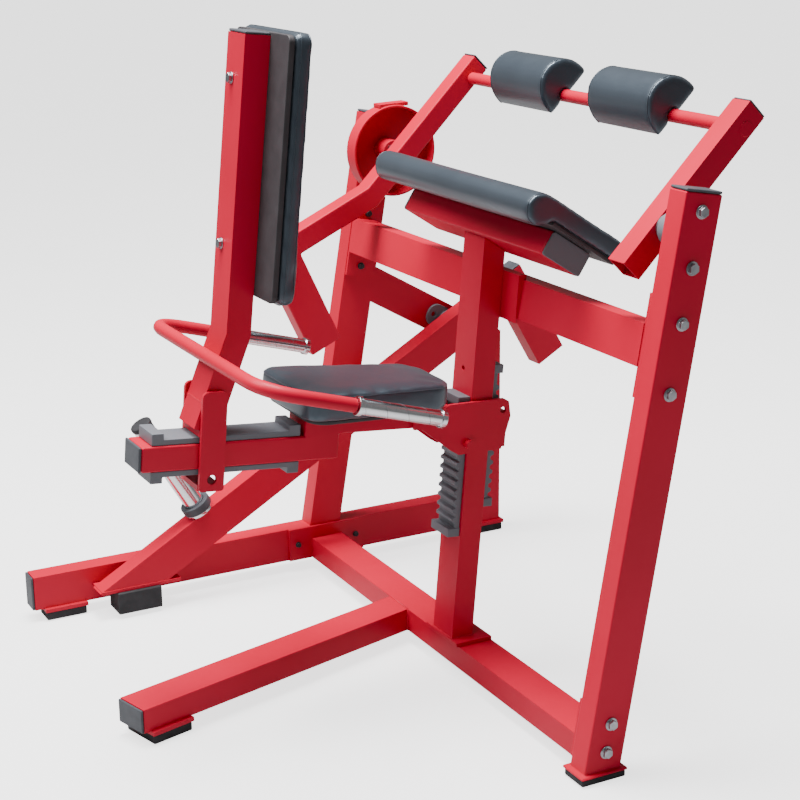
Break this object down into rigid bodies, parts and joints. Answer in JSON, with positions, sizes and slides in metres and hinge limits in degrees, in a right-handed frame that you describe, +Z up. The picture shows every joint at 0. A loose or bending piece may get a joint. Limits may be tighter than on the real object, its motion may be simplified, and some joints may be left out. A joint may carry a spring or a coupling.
{
  "type": "plate-loaded seated arm extension machine",
  "caption": "Red tube-frame gym machine: seat with back pad and side grips, sloping elbow pad, pivoting press bar with foam pads, and a swinging weight arm with a plate horn.",
  "frame": {"origin": "bottom centre of the whole object's bounding box, on the floor", "axes": "+Z up, +Y the way the seated user faces, +X to the user's right"},
  "size_m": [1.298, 1.3888, 1.3663],
  "materials": {
    "red_paint": "semi-gloss",
    "grey_plastic": "matte",
    "dark_metal": "satin",
    "rubber": "matte",
    "upholstery": "satin",
    "pad_board": "matte",
    "chrome": "polished",
    "zinc": "satin"
  },
  "bodies": {
    "frame": {"right_upright": "red_paint", "left_side_frame": "red_paint", "base_frame": "red_paint", "upper_crossbeam": "red_paint", "column": "red_paint", "arm_pad_tube": "red_paint", "right_upright_cap": "grey_plastic", "left_upright_cap": "grey_plastic", "rail_rear_cap": "grey_plastic", "leg_cap": "grey_plastic", "rear_rack": "dark_metal", "front_rack": "dark_metal", "arm_pad_tube_cap_left": "dark_metal", "arm_pad_tube_cap_right": "dark_metal", "lever_bearing_right": "dark_metal", "lever_bearing_left": "dark_metal", "weight_arm_bearing": "dark_metal", "right_foot": "rubber", "rail_rear_foot": "rubber", "rail_front_foot": "rubber", "leg_foot": "rubber", "arm_pad": "upholstery", "arm_pad_board": "pad_board", "upright_bolt_1": "zinc", "upright_bolt_2": "zinc", "upright_bolt_3": "zinc", "upright_bolt_4": "zinc", "upright_bolt_5": "zinc", "upright_bolt_6": "zinc"},
    "lever": {"lever_arm_right": "red_paint", "lever_arm_right_cap": "grey_plastic", "lever_arm_left": "red_paint", "lever_arm_left_cap": "grey_plastic", "press_bar": "red_paint", "press_pad_left": "upholstery", "press_pad_right": "upholstery", "lever_shaft_left": "zinc", "lever_shaft_right": "zinc", "cam_drum": "red_paint"},
    "weight_arm_group": {"weight_arm": "red_paint", "weight_arm_cap": "grey_plastic", "weight_arm_bumper": "rubber", "loading_horn": "chrome", "horn_collar": "grey_plastic", "horn_end_cap": "rubber"},
    "seat_carriage": {"seat_frame": "red_paint", "seat_beam_cap": "grey_plastic", "slide_rail_top": "dark_metal", "slide_rail_bottom": "dark_metal", "seat_side_plate_left": "red_paint", "seat_side_plate_right": "red_paint", "seat_board": "pad_board", "seat_cushion": "upholstery"},
    "back_carriage": {"back_post": "red_paint", "back_post_cap": "grey_plastic", "back_board": "pad_board", "back_cushion": "upholstery", "grab_handle": "red_paint", "hand_grip_left": "chrome", "hand_grip_right": "chrome"}
  },
  "joints": [
    {"name": "lever_pivot", "type": "hinge", "parent": "frame", "child": "lever", "pos_m": [0.074, 0.20789, 1.021], "axis": [-1, 0, 0], "range_deg": [0, 80]},
    {"name": "weight_arm_pivot", "type": "hinge", "parent": "frame", "child": "weight_arm_group", "pos_m": [-0.551, 0.39589, 0.577], "axis": [-1, 0, 0], "range_deg": [0, 27]},
    {"name": "seat_height", "type": "slide", "parent": "frame", "child": "seat_carriage", "axis": [0, 0.0889, 0.996], "range_m": [-0.15, 0.02]},
    {"name": "back_pad_slide", "type": "slide", "parent": "seat_carriage", "child": "back_carriage", "axis": [0, 0.996, -0.0889], "range_m": [-0.05, 0.12]}
  ],
  "couplings": [
    {"joint": "weight_arm_pivot", "follows": "lever_pivot", "ratio": 0.33}
  ]
}
